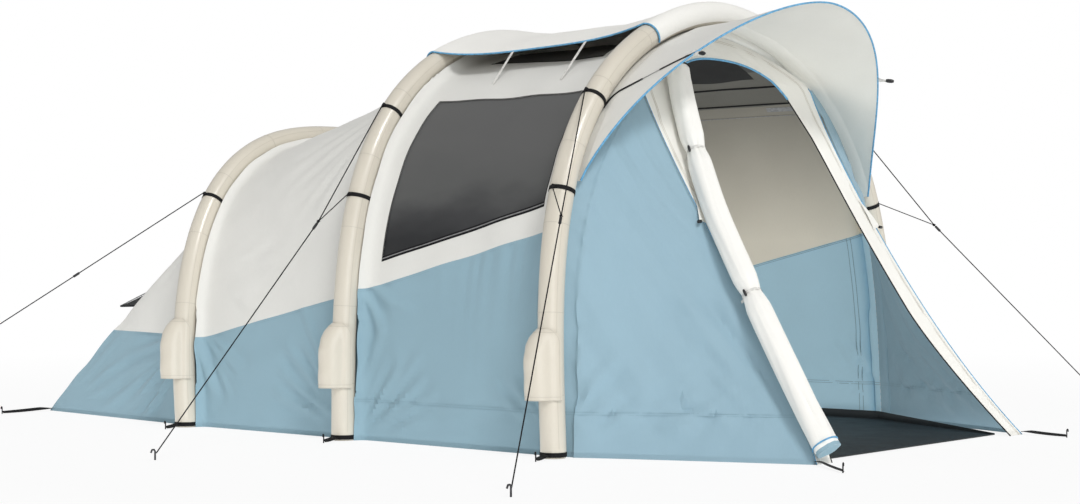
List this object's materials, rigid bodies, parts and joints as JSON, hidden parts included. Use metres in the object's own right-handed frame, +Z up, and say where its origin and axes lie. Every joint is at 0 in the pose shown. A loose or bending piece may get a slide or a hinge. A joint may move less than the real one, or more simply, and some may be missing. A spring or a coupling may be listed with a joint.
{
  "type": "inflatable tunnel tent",
  "caption": "Inflatable tunnel tent with air beams, a rolled door under a visor, a side window, a covered roof vent, a tray groundsheet and pegged guy lines.",
  "frame": {"origin": "on the ground at the centre of the footprint, halfway between the front corner stakes and the rear hem", "axes": "+X across the tent to the right of someone looking in through the door, +Y from the door to the rear wall, +Z up"},
  "size_m": [5.149, 5.1295, 2.0736],
  "materials": {
    "beam_cream": "satin coated fabric sleeve",
    "hood_cream": "satin coated fabric",
    "valve_black": "moulded",
    "fly_grey": "coated plain weave, light grey above and blue below the seam",
    "fly_blue": "coated plain weave",
    "frame_white": "coated plain weave",
    "cover_white": "coated plain weave",
    "vent_mesh": "fine mesh",
    "window_foil": "tinted flexible foil",
    "floor_navy": "coated sheet",
    "webbing_black": "woven webbing",
    "rope_black": "braided cord",
    "runner_black": "moulded",
    "peg_steel": "dark coated"
  },
  "bodies": {
    "tent_body": {"front_beam": "beam_cream", "middle_beam": "beam_cream", "rear_beam": "beam_cream", "front_fly": "fly_grey", "middle_fly": "fly_grey", "rear_fly": "fly_grey", "visor": "fly_grey", "front_side_left": "fly_blue", "front_side_right": "fly_blue", "door_frame": "frame_white", "door_roll": "frame_white", "roof_vent_cover": "cover_white", "roof_vent_mesh": "vent_mesh", "side_window": "window_foil", "groundsheet": "floor_navy", "front_foot_strap_left": "webbing_black", "front_upper_ring_left": "webbing_black", "front_lower_ring_left": "webbing_black", "front_guy_line_left": "rope_black", "front_guy_peg_left": "peg_steel", "middle_foot_strap_left": "webbing_black", "middle_upper_ring_left": "webbing_black", "middle_lower_ring_left": "webbing_black", "middle_guy_line_left": "rope_black", "middle_guy_peg_left": "peg_steel", "rear_foot_strap_left": "webbing_black", "rear_upper_ring_left": "webbing_black", "rear_guy_line_left": "rope_black", "rear_guy_peg_left": "peg_steel", "front_corner_strap_left": "webbing_black", "rear_corner_strap_left": "webbing_black", "front_foot_strap_right": "webbing_black", "front_upper_ring_right": "webbing_black", "front_lower_ring_right": "webbing_black", "front_guy_line_right": "rope_black", "front_guy_peg_right": "peg_steel", "middle_foot_strap_right": "webbing_black", "middle_upper_ring_right": "webbing_black", "middle_lower_ring_right": "webbing_black", "middle_guy_line_right": "rope_black", "middle_guy_peg_right": "peg_steel", "rear_foot_strap_right": "webbing_black", "rear_upper_ring_right": "webbing_black", "rear_guy_line_right": "rope_black", "rear_guy_peg_right": "peg_steel", "front_corner_strap_right": "webbing_black", "rear_corner_strap_right": "webbing_black"},
    "front_valve_hood_body": {"front_valve_hood": "hood_cream"},
    "front_valve_cap_body": {"front_valve_cap": "valve_black"},
    "middle_valve_hood_body": {"middle_valve_hood": "hood_cream"},
    "middle_valve_cap_body": {"middle_valve_cap": "valve_black"},
    "rear_valve_hood_body": {"rear_valve_hood": "hood_cream"},
    "rear_valve_cap_body": {"rear_valve_cap": "valve_black"},
    "rear_vent_hood_body": {"rear_vent_hood": "vent_mesh"},
    "front_runner_left_body": {"front_guy_runner_left": "runner_black"},
    "middle_runner_left_body": {"middle_guy_runner_left": "runner_black"},
    "rear_runner_left_body": {"rear_guy_runner_left": "runner_black"},
    "front_runner_right_body": {"front_guy_runner_right": "runner_black"},
    "middle_runner_right_body": {"middle_guy_runner_right": "runner_black"},
    "rear_runner_right_body": {"rear_guy_runner_right": "runner_black"}
  },
  "joints": [
    {"name": "front_valve_hood_hinge", "type": "hinge", "parent": "tent_body", "child": "front_valve_hood_body", "pos_m": [-1.44104, -1.2635, 0.545], "axis": [0.5, 0.866, 0], "range_deg": [0, 60]},
    {"name": "front_valve_cap_turn", "type": "hinge", "parent": "tent_body", "child": "front_valve_cap_body", "pos_m": [-1.44965, -1.26779, 0.39996], "axis": [-0.866, 0.5, 0], "range_deg": [0, 90]},
    {"name": "middle_valve_hood_hinge", "type": "hinge", "parent": "tent_body", "child": "middle_valve_hood_body", "pos_m": [-1.41899, 0.0028, 0.54499], "axis": [0.5, 0.866, 0], "range_deg": [0, 60]},
    {"name": "middle_valve_cap_turn", "type": "hinge", "parent": "tent_body", "child": "middle_valve_cap_body", "pos_m": [-1.42711, 0.00475, 0.39997], "axis": [-0.866, 0.5, 0], "range_deg": [0, 90]},
    {"name": "rear_valve_hood_hinge", "type": "hinge", "parent": "tent_body", "child": "rear_valve_hood_body", "pos_m": [-1.37667, 1.20237, 0.54498], "axis": [0.5, 0.866, 0], "range_deg": [0, 60]},
    {"name": "rear_valve_cap_turn", "type": "hinge", "parent": "tent_body", "child": "rear_valve_cap_body", "pos_m": [-1.40067, 1.18836, 0.39996], "axis": [-0.866, 0.5, 0], "range_deg": [0, 90]},
    {"name": "rear_vent_hood_hinge", "type": "hinge", "parent": "tent_body", "child": "rear_vent_hood_body", "pos_m": [0, 1.93211, 0.7], "axis": [1, 0, 0], "range_deg": [-26, 0]},
    {"name": "front_runner_left_slide", "type": "slide", "parent": "tent_body", "child": "front_runner_left_body", "axis": [-0.6337, -0.3627, -0.6833], "range_m": [0, 0.2]},
    {"name": "middle_runner_left_slide", "type": "slide", "parent": "tent_body", "child": "middle_runner_left_body", "axis": [-0.6916, -0.0146, -0.7222], "range_m": [0, 0.2]},
    {"name": "rear_runner_left_slide", "type": "slide", "parent": "tent_body", "child": "rear_runner_left_body", "axis": [-0.5903, 0.5922, -0.5485], "range_m": [0, 0.2]},
    {"name": "front_runner_right_slide", "type": "slide", "parent": "tent_body", "child": "front_runner_right_body", "axis": [0.6432, -0.3784, -0.6657], "range_m": [0, 0.2]},
    {"name": "middle_runner_right_slide", "type": "slide", "parent": "tent_body", "child": "middle_runner_right_body", "axis": [0.6916, -0.0146, -0.7222], "range_m": [0, 0.2]},
    {"name": "rear_runner_right_slide", "type": "slide", "parent": "tent_body", "child": "rear_runner_right_body", "axis": [0.5903, 0.5922, -0.5485], "range_m": [0, 0.2]}
  ]
}
